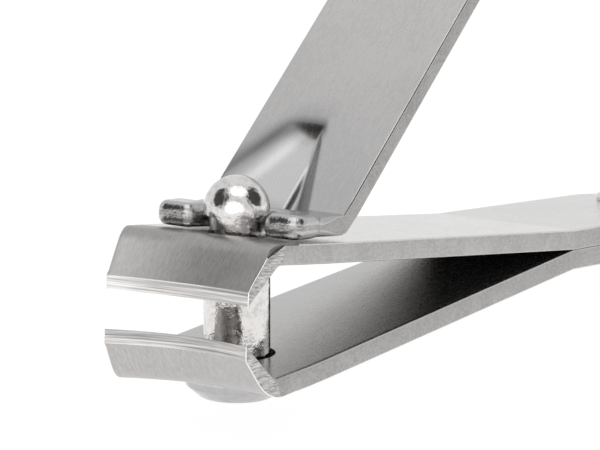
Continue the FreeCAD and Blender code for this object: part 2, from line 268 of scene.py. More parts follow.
def jaw_pairs(bend_radius):
    """Pairs from just before the jaw bend to the cutting edge, with their zone names."""
    along = (JAW_FRONT[1] - JAW_FRONT[0]).normalized()
    corner = JAW_FRONT[0] + along * ((PLATE_T - JAW_FRONT[0].y) / along.y)
    back = (JAW_BACK[1] - JAW_BACK[0]).normalized()
    outer = arc_points(corner, Vector((-1, 0)), along, bend_radius, BEND_STEPS)
    inner = arc_points(JAW_BACK[0], Vector((-1, 0)), back, BEND_INNER_R, BEND_STEPS)
    zones = ["bend"] * (BEND_STEPS + 1)
    edge = JAW_BACK[1] + Vector((EDGE_LAND, 0))
    face_foot = inner[-1].lerp(JAW_BACK[1], BEVEL_SHARE)
    outer += between(outer[-1], JAW_FRONT[1], FACE_STEPS)
    inner += between(inner[-1], face_foot, FACE_STEPS)
    zones += ["face"] * FACE_STEPS
    outer += between(JAW_FRONT[1], edge, BEVEL_STEPS)
    inner += between(face_foot, JAW_BACK[1], BEVEL_STEPS)
    zones += ["bevel"] * BEVEL_STEPS
    return list(zip(outer, inner)), zones


def plate_pair(x):
    """Pair of a straight plate."""
    return Vector((x, PLATE_T)), Vector((x, 0))


def plate_pairs(first, last):
    """Pairs of a straight plate from first up to last, last left out."""
    count = math.ceil((last - first) / PLATE_STEP)
    return [plate_pair(first + (last - first) * i / count) for i in range(count)]


def tail_half(x):
    """Half width of a tail, x negative behind the meeting line, its end rounded."""
    straight = HALF_AT_MEET + (HALF_AT_TAIL - HALF_AT_MEET) * (-x / TAIL_LENGTH)
    into = -x - (TAIL_LENGTH - TAIL_CORNER_R)
    if into <= 0:
        return straight
    rest = math.sqrt(max(0.0, TAIL_CORNER_R ** 2 - into ** 2))
    return straight - TAIL_CORNER_R + rest


def arm_half(x):
    """Half width of an arm at a distance from the meeting line."""
    if x <= 0:
        return tail_half(x)
    places = (0, POST_X, JAW_GRIND_X, JAW_BACK[1].x)
    rows = list(zip(places, (HALF_AT_MEET, HALF_AT_POST, HALF_AT_BEND, JAW_HALF)))
    for (x0, h0), (x1, h1) in zip(rows, rows[1:]):
        if x <= x1:
            return h0 + (h1 - h0) * (x - x0) / (x1 - x0)
    return JAW_HALF


def hollow(x, y):
    """How far a jaw point sits behind the blade ends; fades out along the flat plate."""
    weight = min(1.0, max(0.0, (x - HOLLOW_START_X) / HOLLOW_FADE))
    return weight * JAW_HOLLOW * (1 - (y / JAW_HALF) ** 2)


def side_radii(zones, swell):
    """Radius of the worn side edge at each pair; it swells along the jaw bend."""
    radii = []
    bend = 0
    for zone in zones:
        if zone == "plate":
            radii.append(SIDE_R)
        elif zone == "bend":
            radii.append(JAW_SIDE_R + swell * math.sin(math.pi * bend / BEND_STEPS))
            bend += 1
        else:
            radii.append(JAW_SIDE_R)
    return radii


def arm_mesh(name, pairs, zones, swell, place, materials):
    """Arm from its ladder: across it the pairs repeat, with round edges along both sides.

    swell widens the round edge of the near side along the bend; place puts a point of the arm
    frame in the working frame; materials are finishes by the name of the surface.
    """
    rings = [(-1, a) for a in SIDE_ANGLES]
    rings += [(2 * i / ACROSS - 1, 0) for i in range(ACROSS + 1)]
    rings += [(1, a) for a in reversed(SIDE_ANGLES)]
    outer_radii, inner_radii = side_radii(zones, swell), side_radii(zones, 0.0)
    points = []
    for side, angle in rings:
        a = math.radians(angle)
        for (outer, inner), outer_r, inner_r in zip(pairs, outer_radii, inner_radii):
            if side < 0:
                outer_r = inner_r
            into = (inner - outer).normalized()
            limit = 0.4 * (inner - outer).length     # keeps the two round edges apart
            for corner, r, sign in ((outer, outer_r, 1), (inner, inner_r, -1)):
                p = corner + into * sign * min(r * (1 - math.cos(a)), limit)
                half = arm_half(p.x)
                y = side * (half - r) + (math.copysign(r * math.sin(a), side) if angle else 0)
                points.append(place(p.x - hollow(p.x, y), y, p.y))
    faces, kinds = [], []
    per = 2 * len(pairs)
    last = len(pairs) - 1

    def quad(j, k, l, kind):
        """Face between two rings."""
        faces.append((j * per + k, j * per + l, (j + 1) * per + l, (j + 1) * per + k))
        kinds.append(kind)

    for j in range(len(rings) - 1):
        rounding = rings[j][1] != 0 or rings[j + 1][1] != 0
        for k in range(last):
            zone = zones[k + 1]
            for level in (0, 1):
                kind = zone if level == 0 else "inner"
                # Rounded jaw edges take a bright finish, partly a ground burr and partly a painted
                # highlight;
                # the near edge along the bend is a zone of its own, painted shade on the upper arm.
                if rounding and level == 0 and zone != "plate":
                    kind = "notch" if zone == "bend" and j > ACROSS else "burr_and_glint"
                quad(j, 2 * k + level, 2 * (k + 1) + level, kind)
        quad(j, 0, 1, "side")
        quad(j, 2 * last, 2 * last + 1, "bevel")
    for j in (0, len(rings) - 1):
        for k in range(last):
            a = j * per + 2 * k
            faces.append((a, a + 2, a + 3, a + 1))
            front = pairs[k][0].x + pairs[k][1].x >= 2 * JAW_GRIND_X
            kinds.append("facet" if front else "side")
    order = list(materials)
    index = [order.index(kind) for kind in kinds]
    return finish_mesh(name, points, faces, index, [materials[kind] for kind in order])


def lower_place(x, y, z):
    """Arm frame to working frame for the lower arm, its tail dropping."""
    if x >= 0:
        return Vector((x - POST_X, y, -z))
    flat = turned(x, -z, TAIL_DROP)
    return Vector((flat.x - POST_X, y, flat.y))


def upper_place(x, y, z):
    """Arm frame to working frame for the front of the upper arm."""
    flat = turned(x, z, OPEN_ANGLE)
    return Vector((flat.x - POST_X, y, flat.y))


def tail_place(x, y, z):
    """Tail frame to working frame."""
    flat = turned(x, z, TAIL_DROP)
    return Vector((flat.x - POST_X, y, flat.y))


def mitred(x, z, lean):
    """Move a point on the end of a plate onto the mitre plane of its bend."""
    return Vector((x + z * math.tan(math.radians(lean)), z))


def front_pairs(bend_radius):
    """Ladder of the front of an arm from the meeting line on."""
    jaw, jaw_zones = jaw_pairs(bend_radius)
    pairs = plate_pairs(0.0, jaw[0][0].x)
    return pairs + jaw, ["plate"] * len(pairs) + jaw_zones


def tail_pairs():
    """Ladder of a tail, its steps closer where the end is rounded."""
    end = TAIL_END_TRIM - TAIL_LENGTH
    pairs = [plate_pair(end + TAIL_CORNER_R * (i / TAIL_STEPS) ** 2) for i in range(TAIL_STEPS)]
    return pairs + plate_pairs(end + TAIL_CORNER_R, 0.0)


def make_lower_arm(materials):
    """Lower arm with its tail, post hole and eyelet hole."""
    tail = tail_pairs()
    pairs, zones = front_pairs(LOWER_BEND_R)
    pairs[0] = (mitred(0, PLATE_T, TAIL_DROP / 2), pairs[0][1])
    zones = ["plate"] * len(tail) + zones
    arm = arm_mesh("lower_arm_steel", tail + pairs, zones, 0.0, lower_place, materials)
    cut_hole(arm, LOWER_HOLE_R, 0, (0, -PLATE_T / 2), 0)
    eye = turned(-EYELET_X, -PLATE_T / 2, TAIL_DROP)
    cut_hole(arm, EYELET_R, 0, (eye.x - POST_X, eye.y), TAIL_DROP)
    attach(arm, "frame")
    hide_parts("lower_arm")


def make_upper_arm(materials):
    """Front of the upper arm with its slotted hole."""
    pairs, zones = front_pairs(UPPER_BEND_R)
    pairs[0] = (mitred(0, PLATE_T, (OPEN_ANGLE - TAIL_DROP) / 2), pairs[0][1])
    arm = arm_mesh("upper_arm_steel", pairs, zones, BEND_SIDE_R, upper_place, materials)
    tilt = math.radians(OPEN_ANGLE)
    along = (POST_X + PLATE_T / 2 * math.sin(tilt)) / math.cos(tilt) - UPPER_HOLE_SET
    hole = turned(along, PLATE_T / 2, OPEN_ANGLE)
    cut_hole(arm, UPPER_HOLE_R, UPPER_SLOT, (hole.x - POST_X, hole.y), OPEN_ANGLE)
    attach(arm, "upper_arm")
    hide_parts("upper_arm")


def make_upper_tail(materials):
    """Clamped tail of the upper arm."""
    pairs = tail_pairs()
    lean = -(OPEN_ANGLE - TAIL_DROP) / 2
    pairs.append((mitred(0, PLATE_T, lean), Vector((0, 0))))
    tail = arm_mesh("upper_tail_steel", pairs, ["plate"] * len(pairs), 0.0, tail_place, materials)
    eye = turned(-EYELET_X, PLATE_T / 2, TAIL_DROP)
    cut_hole(tail, EYELET_R, 0, (eye.x - POST_X, eye.y), TAIL_DROP)
    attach(tail, "frame")
    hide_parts("upper_arm_tail")


# --- lever ----------------------------------------------------------------------------------
# The lever is a flat blank in strip coordinates, bent afterwards: u runs up the strip from the
# fold (negative along the foot), v across it, and n is height over the top face. A span is the
# pair of places between which something fades in.

PRONG_SPAN = (-3.4, -5.0)           # the fork ends rise and spread
WEAR_SPAN = (-0.6, -3.6)            # the edges turn from crisp to worn
RIM_FLAT = 0.08                     # flat kept inside the round edge
RIM_CLEAR = 0.16                    # inner mesh points stay this far from that flat
EDGE_STEP = 0.22                    # spacing of mesh points along the outline
FOOT_STEP = 0.25                    # and inside it
GUSSET_STEP = 0.16
STRIP_STEP = 1.5
FINE_FROM = -1.3                    # the gusset's fine mesh lies between these u
FINE_UP_TO = 9.6
FINE_SIDE = -5.75                   # first point across the strip


def spaced(first, step, count):
    """Equally spaced numbers."""
    return [first + step * i for i in range(count)]


def rounded_loop(corners, step):
    """Closed outline through corners (u, v, radius); step gives the longest step at a u."""
    loop = []
    count = len(corners)
    for i in range(count):
        here = Vector(corners[i][:2])
        before = (Vector(corners[i - 1][:2]) - here).normalized()
        after = (Vector(corners[(i + 1) % count][:2]) - here).normalized()
        if corners[i][2] == 0:
            loop.append(here)
        else:
            loop += arc_points(here, before, after, corners[i][2], CORNER_STEPS)
    fine = []
    for i, here in enumerate(loop):
        nxt = loop[(i + 1) % len(loop)]
        count = max(1, math.ceil((nxt - here).length / step(here.x)))
        fine += [here.lerp(nxt, k / count) for k in range(count)]
    return fine


def inset(loop, distances):
    """Outline moved inward, to the left of its direction, by a distance at each point."""
    moved = []
    for i, here in enumerate(loop):
        a = (here - loop[i - 1]).normalized()
        b = (loop[(i + 1) % len(loop)] - here).normalized()
        na, nb = Vector((-a.y, a.x)), Vector((-b.y, b.x))
        moved.append(here + (na + nb) / (1 + na.dot(nb)) * distances[i])
    return moved


def inside(points, loop):
    """Which points lie inside an outline (even-odd rule)."""
    x, y = points[:, 0], points[:, 1]
    found = np.zeros(len(points), bool)
    for i in range(len(loop)):
        (x0, y0), (x1, y1) = loop[i - 1], loop[i]
        if y0 == y1:
            continue
        crosses = (y0 > y) != (y1 > y)
        found ^= crosses & (x < (x1 - x0) * (y - y0) / (y1 - y0) + x0)
    return found


def clear_of(points, loop, gap):
    """Which points are further than a gap from every point of an outline."""
    rim = np.array(loop)
    nearest = np.full(len(points), 1e9)
    for x, y in rim:
        nearest = np.minimum(nearest, np.hypot(points[:, 0] - x, points[:, 1] - y))
    return nearest > gap


def lever_outline():
    """Plan of the flat blank: strip, foot and fork slot, counter-clockwise."""
    tip = FOLD_ON_FOOT - PRONG_TIP_X / math.cos(math.radians(FOOT_RISE))
    mouth = FOLD_ON_FOOT - PRONG_TIP_X
    half = [
        (STRIP_LENGTH, LEVER_TIP_HALF, LEVER_TIP_R),
        (0.0, LEVER_HALF, 0),
        (tip, LEVER_HALF, PRONG_TIP_R),
        (tip, SLOT_MOUTH_HALF + (mouth - tip) * SLOT_MOUTH_LEAN, PRONG_INNER_R),
        (FOLD_ON_FOOT - SLOT_FLARE_X, SLOT_HALF, SLOT_FLARE_R),
        (FOLD_ON_FOOT - SLOT_BACK_X, SLOT_HALF, SLOT_BACK_R),
    ]
    return half + [(u, -v, r) for u, v, r in reversed(half)]


# The gusset. A line on the strip is a point and a direction: (u, v, du, dv).
DENT_TOP = 8.8                      # top of the gusset above the fold
DENT_TOP_MIDDLE = -1.0              # v where its top edge is highest
DENT_TOP_BOW = 0.05
FAR_RIM = (8.0, -3.1, 5.5, 2.8)
NEAR_LIP = (8.4, 0.25, -7.6, 2.3)
TOP_SLOPE = 0.46
FAR_SLOPE = 0.24
NEAR_SLOPE = 0.80
FACET_DEPTH = 0.50
FACET_SLOPE = 0.015
BANK_SLOPE = 1.1
VALLEY_SHIFT = 0.25                 # how far the valley moves to the near side low down
VALLEY_SPAN = (7.6, 4.6)
FLOOR_DROP = 0.55                   # how much deeper the valley gets towards the fold
FLOOR_SPAN = (7.2, 3.2)
FOLD_SPAN = (-1.0, 0.3)             # the gusset runs out over the fold here
CREASE = 0.05                       # softness where two slopes meet
PATCH_U = (-0.18, 0, 0.18)          # the dent is averaged over these shifts
PATCH_V = (-0.10, 0, 0.10)
UNDER_STEP = 0.05                   # bulge of the underside at the fold, nearly flat there
UNDER_SLOPE = 0.3                   # how fast that bulge may grow up the strip

# Painted shade and light over the pressed gusset. Pairs are values at the top and low down.
SHADE_SPAN = (7.0, 3.0)
SHADE_SOFT = 0.5                     # roundness of the arc where the top and far rims meet
ARC_DARK = (0.84, 0.62)
ARC_MIDDLE = (0.15, 0.0)            # distance inside the rim
ARC_INSIDE = (0.78, 1.28)           # width of its soft edges
ARC_OUTSIDE = (0.92, 1.32)
SLOPE_DARK = 0.60
LINE_LIGHT = 0.45                   # painted paler line near the foot of the near slope
LINE_PLACE = 0.55
LINE_WIDTH = 0.14
SHINE = 0.45


def ramp(value, start, stop):
    """Smooth step from 0 at start to 1 at stop."""
    x = min(1.0, max(0.0, (value - start) / (stop - start)))
    return x * x * (3 - 2 * x)


def mixed(pair, share):
    """Value between the two of a pair."""
    return pair[0] + (pair[1] - pair[0]) * share


def softest(values, soft):
    """Smooth minimum of several heights."""
    low = min(values)
    return low - soft * math.log(sum(math.exp((low - value) / soft) for value in values))


def beside(line, u, v):
    """Distance of a point to the left of a line."""
    u0, v0, du, dv = line
    return ((v - v0) * du - (u - u0) * dv) / math.hypot(du, dv)


def below_top(u, v):
    """Distance below the bowed top edge of the gusset."""
    return DENT_TOP - u - DENT_TOP_BOW * (v - DENT_TOP_MIDDLE) ** 2


def past_valley(u, v):
    """Distance across the strip from the valley of the gusset, towards the near side."""
    return v - VALLEY_SHIFT * ramp(u, *VALLEY_SPAN)


def dent(u, v):
    """Depth of the pressed gusset below the top face of the strip.

    Its far side is a wide shallow facet, its near side a steep one under a crisp lip, and a
    narrow flat floor runs between them down to the fold.
    """
    far = beside(FAR_RIM, u, v)
    facet = FACET_DEPTH + FACET_SLOPE * far
    bank = facet + BANK_SLOPE * max(0.0, past_valley(u, v))
    floor = FACET_DEPTH + FLOOR_DROP * ramp(u, *FLOOR_SPAN)
    near = beside(NEAR_LIP, u, v)
    slopes = (TOP_SLOPE * below_top(u, v), FAR_SLOPE * far, NEAR_SLOPE * near, bank, floor)
    return max(0.0, softest(slopes, CREASE)) * ramp(u, *FOLD_SPAN)


def painted_gusset_shading(u, v):
    """Painted shade and light over the gusset: positive is painted shade, negative a painted
    highlight.

    A soft dark arc of painted shade runs inside the far rim; the near slope is painted dark, the
    facet bright.
    """
    if not -0.5 < u < DENT_TOP + 2:
        return 0.0
    lip = beside(NEAR_LIP, u, v)
    rim = softest((below_top(u, v), beside(FAR_RIM, u, v)), SHADE_SOFT)
    valley = past_valley(u, v)
    low = ramp(u, *SHADE_SPAN)
    middle = mixed(ARC_MIDDLE, low)
    width = mixed(ARC_INSIDE if rim > middle else ARC_OUTSIDE, low)
    arc = mixed(ARC_DARK, low) * math.exp(-((rim - middle) / width) ** 2) * ramp(lip, -0.45, 0.05)
    slope = ramp(valley, -0.05, 0.25) * ramp(lip, -0.12, 0.13) * ramp(u, 8.0, 6.8)
    pale_line = math.exp(-((valley - LINE_PLACE) / LINE_WIDTH) ** 2) * ramp(u, 5.5, 3.5)
    shine = ramp(rim, 1.0, 2.2) * ramp(valley, 0.1, -0.3) * ramp(u, 0.0, 1.5)
    return min(1.0, arc + slope * (SLOPE_DARK - LINE_LIGHT * pale_line) - SHINE * shine)


def dent_smooth(u, v):
    """Dent averaged over a small patch, as pressed metal rounds every crease."""
    depths = [dent(u + du, v + dv) for du in PATCH_U for dv in PATCH_V]
    return sum(depths) / len(depths)


def lever_place(u, v, n):
    """Bend the blank: foot, fold and strip, the gusset pressed in, the fork ends raised."""
    depth = dent_smooth(u, v) if FOLD_SPAN[0] - 0.2 < u < DENT_TOP + 0.5 else 0.0
    under = min(depth, UNDER_STEP + UNDER_SLOPE * max(0.0, u))
    share = min(1.0, max(0.0, -n / LEVER_T))
    n -= depth * (1 - share) + under * share
    end = ramp(u, *PRONG_SPAN)
    n += CROWN * ramp(abs(v), POST_R + 0.1, POST_R + 0.9) * end * (1 - share)
    v *= 1 + SPREAD * end
    if u > FOLD_HALF:
        back = turned(-1, 0, -STRIP_RISE)
        up = turned(0, 1, -STRIP_RISE)
        flat = FOLD + back * u + up * n
    elif u < -FOLD_HALF:
        flat = FOLD + turned(1, 0, FOOT_RISE) * -u + turned(0, 1, FOOT_RISE) * n
    else:
        middle = turned(0, 1, (FOOT_RISE - STRIP_RISE) / 2)
        half_turn = math.radians((FOOT_RISE + STRIP_RISE) / 2)
        centre = FOLD + middle * (FOLD_R / math.cos(half_turn))
        turn = math.degrees(half_turn) * u / FOLD_HALF
        down = turned(middle.x, middle.y, -turn) * -1
        flat = centre + down * (FOLD_R - n)
    return Vector((flat.x, v, flat.y))


def fine_step(u):
    """Length of a boundary step: fine round the foot and gusset, long up the strip."""
    return EDGE_STEP if u < FINE_UP_TO - 0.1 else STRIP_STEP


def round_at(u):
    """Edge radius: worn round on the foot, crisp along the strip."""
    return mixed((STRIP_ROUND, PRONG_ROUND), ramp(u, *WEAR_SPAN))


def blank_mesh(name, loop, thickness, rows, columns, place, materials):
    """Plate with round edges over a counter-clockwise outline; rows and columns give inner points."""
    radii = [round_at(p.x) for p in loop]
    rings = []
    support = inset(loop, [r + RIM_FLAT for r in radii])
    rings.append([(p.x, p.y, 0.0) for p in support])
    for a in ROUND_ANGLES:
        c, s = 1 - math.cos(math.radians(a)), math.sin(math.radians(a))
        flat = inset(loop, [r * c for r in radii])
        rings.append([(p.x, p.y, -r + r * s) for p, r in zip(flat, radii)])
    for ring in reversed(rings[:]):
        rings.append([(u, v, -thickness - n) for u, v, n in ring])
    rim = [tuple(p) for p in support]
    grid = np.array([(u, v) for u in rows for v in columns(u)])
    grid = grid[inside(grid, rim)]
    grid = grid[clear_of(grid, rim, RIM_CLEAR)]
    count = len(rim)
    flat = [Vector(p) for p in rim] + [Vector(p) for p in grid]
    edges = [(i, (i + 1) % count) for i in range(count)]
    _, _, triangles, origins, _, _ = delaunay_2d_cdt(flat, edges, [], 0, 1e-7)
    triangles = [[origins[i][0] for i in face] for face in triangles]
    middles = np.array([sum((flat[i] for i in face), Vector((0, 0))) / 3 for face in triangles])
    kept = [face for face, good in zip(triangles, inside(middles, rim)) if good]
    points = [p for ring in rings for p in ring]
    top_start = len(points)
    points += [(u, v, 0.0) for u, v in grid]
    low_start = len(points)
    points += [(u, v, -thickness) for u, v in grid]
    last_ring = (len(rings) - 1) * count
    faces, kinds = [], []
    for face in kept:
        faces.append(tuple(i if i < count else top_start + i - count for i in face))
        faces.append(tuple(last_ring + i if i < count else low_start + i - count for i in face))
        kinds += [0, 0]
    for j in range(len(rings) - 1):
        for i in range(count):
            k = (i + 1) % count
            faces.append((j * count + i, j * count + k, (j + 1) * count + k, (j + 1) * count + i))
            kinds.append(1 if len(ROUND_ANGLES) <= j < len(rings) - 1 - len(ROUND_ANGLES) else 0)
    plate = finish_mesh(name, [place(*p) for p in points], faces, kinds, materials)
    # Painted shade and highlight of the gusset, kept per point on the top half.
    marks = plate.data.attributes.new("painted_gusset_shading", "FLOAT", "POINT")
    values = [painted_gusset_shading(u, v) if n > -thickness / 2 else 0.0 for u, v, n in points]
    marks.data.foreach_set("value", values)
    return plate


def make_lever(materials):
    """Lever with its fork, fold, pressed gusset and thumb strip."""
    rows = spaced(FOLD_ON_FOOT - PRONG_TIP_X, FOOT_STEP, 25)
    rows += spaced(FINE_FROM, GUSSET_STEP, 68)
    rows += spaced(FINE_UP_TO + 0.1, STRIP_STEP, 31)

    def columns(u):
        """Places across the strip: fine over the valley of the gusset."""
        if u > FINE_UP_TO:
            return spaced(-5.0, 1.0, 11)
        if u < FINE_FROM:
            return spaced(FINE_SIDE, FOOT_STEP, 47)
        return spaced(FINE_SIDE, 0.28, 18) + spaced(-0.7, 0.12, 32) + spaced(3.3, 0.3, 9)

    loop = rounded_loop(lever_outline(), fine_step)
    lever = blank_mesh("lever_steel", loop, LEVER_T, rows, columns, lever_place, materials)
    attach(lever, "lever")
    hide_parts("lever")


# --- turned pieces --------------------------------------------------------------------------

def lathe(name, profile, place, material, closed):
    """Turned piece: a profile of (radius, height) points run round the upright axis."""
    points, faces = [], []
    for r, z in profile:
        for i in range(LATHE_STEPS):
            a = 2 * math.pi * i / LATHE_STEPS
            points.append(place(r * math.cos(a), r * math.sin(a), z))
    rows = len(profile)
    for j in range(rows if closed else rows - 1):
        low, high = j * LATHE_STEPS, ((j + 1) % rows) * LATHE_STEPS
        for i in range(LATHE_STEPS):
            k = (i + 1) % LATHE_STEPS
            faces.append((low + i, low + k, high + k, high + i))
    if not closed:
        faces.append(tuple(range(LATHE_STEPS)))
        faces.append(tuple(range((rows - 1) * LATHE_STEPS, rows * LATHE_STEPS)))
    return finish_mesh(name, points, faces, [0] * len(faces), [material])


def round_corners(corners):
    """Profile through corners (radius, height, fillet)."""
    profile = []
    count = len(corners)
    for i, (r, z, fillet) in enumerate(corners):
        here = Vector((r, z))
        if fillet == 0:
            profile.append(here)
            continue
        before = (Vector(corners[i - 1][:2]) - here).normalized()
        after = (Vector(corners[(i + 1) % count][:2]) - here).normalized()
        profile += arc_points(here, before, after, fillet, FILLET_STEPS)
    return profile


def make_post(material):
    """Post: button foot, stem, neck and domed head."""
    seat = -PLATE_T - GAP
    profile = round_corners([
        (GAP, BUTTON_FLOOR, 0),
        (BUTTON_FLOOR_R, BUTTON_FLOOR, BUTTON_BULGE),
        (BUTTON_R - GAP, BUTTON_FLOOR + BUTTON_EDGE_H, BUTTON_EDGE_R),
        (BUTTON_R - GAP, seat, BUTTON_TOP_R),
        (POST_R, seat, 0),
        (POST_R, NECK_LOW - NECK_CONE, 0),
        (NECK_R, NECK_LOW, 0),
        (NECK_R, HEAD_SEAT, 0),
        (POST_R, HEAD_SEAT, HEAD_EDGE_R),
    ])
    for i in range(DOME_STEPS):
        a = math.radians(90) * i / DOME_STEPS
        profile.append(Vector((POST_R * math.cos(a), DOME_CENTRE + POST_R * math.sin(a))))
    profile.append(Vector((GAP, DOME_CENTRE + POST_R)))
    post = lathe("post_nickel", profile, lambda x, y, z: Vector((x, y, z)), material, False)
    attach(post, "frame")
    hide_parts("post")


def make_eyelet(material):
    """Hollow eyelet rolled over both faces of the joined tails."""
    low = -PLATE_T - EYELET_FLANGE_T
    high = PLATE_T + EYELET_FLANGE_T
    barrel = EYELET_R - GAP / 2
    rim = EYELET_FLANGE_R - EYELET_FLARE
    profile = round_corners([
        (EYELET_BORE_R, low, EYELET_LIP_R),
        (EYELET_FLANGE_R, low, EYELET_LIP_R),
        (rim, low + EYELET_FLANGE_T, EYELET_SEAT_R),
        (barrel, low + EYELET_FLANGE_T, 0),
        (barrel, high - EYELET_FLANGE_T, 0),
        (rim, high - EYELET_FLANGE_T, EYELET_SEAT_R),
        (EYELET_FLANGE_R, high, EYELET_LIP_R),
        (EYELET_BORE_R, high, EYELET_LIP_R),
    ])

    def place(x, y, z):
        """Onto the tails."""
        return tail_place(x - EYELET_X, y, z)

    eyelet = lathe("tail_eyelet_nickel", profile, place, material, True)
    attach(eyelet, "frame")
    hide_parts("tail_eyelet")


# --- node helpers ---------------------------------------------------------------------------

NOISE_SCALE = 10.0


def cell(size):
    """Stretch of the object coordinates that gives a noise features of a size in millimetres."""
    return 1 / (NOISE_SCALE * size * MM)


def new_material(name):
    """Plain metal material: returns it with its node tree and Principled shader."""
    material = bpy.data.materials.new(name)
    material.use_nodes = True
    tree = material.node_tree
    shader = tree.nodes["Principled BSDF"]
    shader.inputs["Metallic"].default_value = 1.0
    return material, tree, shader


def add(tree, kind, **values):
    """New node with some of its properties set."""
    node = tree.nodes.new(kind)
    for key, value in values.items():
        setattr(node, key, value)
    return node


def link(tree, source, target):
    """Join an output socket to an input socket."""
    tree.links.new(source, target)


def noise(tree, vector, detail=3.0, roughness=0.6):
    """Noise texture read at a vector; returns its factor."""
    node = add(tree, "ShaderNodeTexNoise")
    node.inputs["Scale"].default_value = NOISE_SCALE
    node.inputs["Detail"].default_value = detail
    node.inputs["Roughness"].default_value = roughness
    link(tree, vector, node.inputs["Vector"])
    return node.outputs["Fac"]


def mapped(tree, stretch, turn=(0, 0, 0)):
    """Object coordinates turned (degrees) and stretched; a small stretch draws features out."""
    coordinates = add(tree, "ShaderNodeTexCoord")
    rotated = add(tree, "ShaderNodeMapping", vector_type="POINT")
    rotated.inputs["Rotation"].default_value = [math.radians(a) for a in turn]
    link(tree, coordinates.outputs["Object"], rotated.inputs["Vector"])
    scaled = add(tree, "ShaderNodeMapping", vector_type="POINT")
    scaled.inputs["Scale"].default_value = stretch
    link(tree, rotated.outputs["Vector"], scaled.inputs["Vector"])
    return scaled.outputs["Vector"]


def ranged(tree, value, low, high, start=0.0, stop=1.0):
    """Map a value from start..stop to low..high."""
    node = add(tree, "ShaderNodeMapRange")
    node.inputs["From Min"].default_value = start
    node.inputs["From Max"].default_value = stop
    node.inputs["To Min"].default_value = low
    node.inputs["To Max"].default_value = high
    link(tree, value, node.inputs["Value"])
    return node.outputs["Result"]


def two_tone(tree, factor, dark, light):
    """Colour between a dark and a light grey."""
    node = add(tree, "ShaderNodeMix", data_type="RGBA")
    node.inputs["A"].default_value = (*dark, 1)
    node.inputs["B"].default_value = (*light, 1)
    link(tree, factor, node.inputs["Factor"])
    return node.outputs["Result"]


def bumped(tree, shader, height, distance, under=None):
    """Bump from a height; an earlier bump can sit under it."""
    node = add(tree, "ShaderNodeBump")
    node.inputs["Distance"].default_value = distance
    node.inputs["Strength"].default_value = 1.0
    link(tree, height, node.inputs["Height"])
    if under is not None:
        link(tree, under, node.inputs["Normal"])
    link(tree, node.outputs["Normal"], shader.inputs["Normal"])
    return node.outputs["Normal"]


def joined(tree, operation, first, second):
    """Result of a math operation on two values."""
    node = add(tree, "ShaderNodeMath", operation=operation)
    link(tree, first, node.inputs[0])
    link(tree, second, node.inputs[1])
    return node.outputs[0]


def shifted(tree, value, amount):
    """Value plus a number."""
    node = add(tree, "ShaderNodeMath", operation="ADD")
    link(tree, value, node.inputs[0])
    node.inputs[1].default_value = amount
    return node.outputs[0]


def times(tree, value, factor):
    """Value times a number."""
    node = add(tree, "ShaderNodeMath", operation="MULTIPLY")
    link(tree, value, node.inputs[0])
    node.inputs[1].default_value = factor
    return node.outputs[0]


def place_of(tree, axis):
    """Object coordinate along an axis."""
    where = add(tree, "ShaderNodeSeparateXYZ")
    coordinates = add(tree, "ShaderNodeTexCoord")
    link(tree, coordinates.outputs["Object"], where.inputs[0])
    return where.outputs[axis]


def height_above(tree):
    """Height over the inner face of the lower arm."""
    return shifted(tree, place_of(tree, "Z"), -ORIGIN.z)


# --- steel finishes -------------------------------------------------------------------------
# Tones are linear greys. Grain sizes are the length of a scratch along X, Y and Z, millimetres.

BRUSHED = (0.5, 0.08, 0.5)
TUMBLED = (0.16, 0.16, 0.10)
JAW_BRUSHED = (0.45, 0.045, 0.45)
GROUND = (5.0, 8.0, 0.12)
GROUND_SHORT = (0.6, 0.6, 0.06)
BURRED = (0.1, 0.1, 0.1)
NOTCHED = (0.3, 0.3, 0.08)
COARSER = 2.2            # size of the grain's second layer against its first
STAIN_SPREAD = 0.09
DIMPLE_DEPTH = 0.035     # millimetres


def greys(tone, spread):
    """Dark and light steel tone round a middle value, slightly warm."""
    return [(level, level * 0.972, level * 0.952) for level in (tone - spread, tone + spread)]


def grained(name, tone, spread, rough, size, turn=0.0, depth=0.004, cloud=0.25, patch_size=2.4):
    """Ground or brushed steel.

    The grain is turned about Y by an angle and lies in two layers, the second coarser. Clouds
    of the patch size lie over it, and depth is the height of its bump in millimetres.
    """
    material, tree, shader = new_material(name)
    turns = (0, turn, 0)
    fine = noise(tree, mapped(tree, [cell(s) for s in size], turns), 3.0, 0.7)
    coarse = noise(tree, mapped(tree, [cell(s * COARSER) for s in size], turns), 2.0, 0.6)
    patch = noise(tree, mapped(tree, [cell(patch_size)] * 3), 3.0, 0.55)
    grain = joined(tree, "ADD", times(tree, fine, 0.6), times(tree, coarse, 0.4))
    scratches = ranged(tree, grain, -cloud, 1.0, 0.38, 0.62)
    clouds = ranged(tree, patch, 0.0, cloud, 0.3, 0.7)
    dark, light = greys(tone, spread)
    colour = two_tone(tree, joined(tree, "ADD", scratches, clouds), dark, light)
    link(tree, colour, shader.inputs["Base Color"])
    roughness = ranged(tree, grain, rough - 0.06, rough + 0.08, 0.35, 0.65)
    link(tree, roughness, shader.inputs["Roughness"])
    bumped(tree, shader, grain, depth * MM)
    return material


def polished(name, tone, rough, lump, lump_depth):
    """Bright tumbled nickel: shiny, with shallow lumps, smaller dimples and faint stains."""
    material, tree, shader = new_material(name)
    lumps = noise(tree, mapped(tree, [cell(lump)] * 3), 2.0, 0.5)
    dimples = noise(tree, mapped(tree, [cell(0.42)] * 3), 3.0, 0.6)
    stains = noise(tree, mapped(tree, [cell(0.7)] * 3), 4.0, 0.7)
    dark, light = greys(tone, STAIN_SPREAD)
    colour = two_tone(tree, ranged(tree, stains, 0.0, 1.0, 0.35, 0.55), dark, light)
    link(tree, colour, shader.inputs["Base Color"])
    roughness = ranged(tree, stains, rough + 0.08, rough, 0.35, 0.6)
    link(tree, roughness, shader.inputs["Roughness"])
    first = bumped(tree, shader, lumps, lump_depth * MM)
    bumped(tree, shader, dimples, DIMPLE_DEPTH * MM, under=first)
    return material


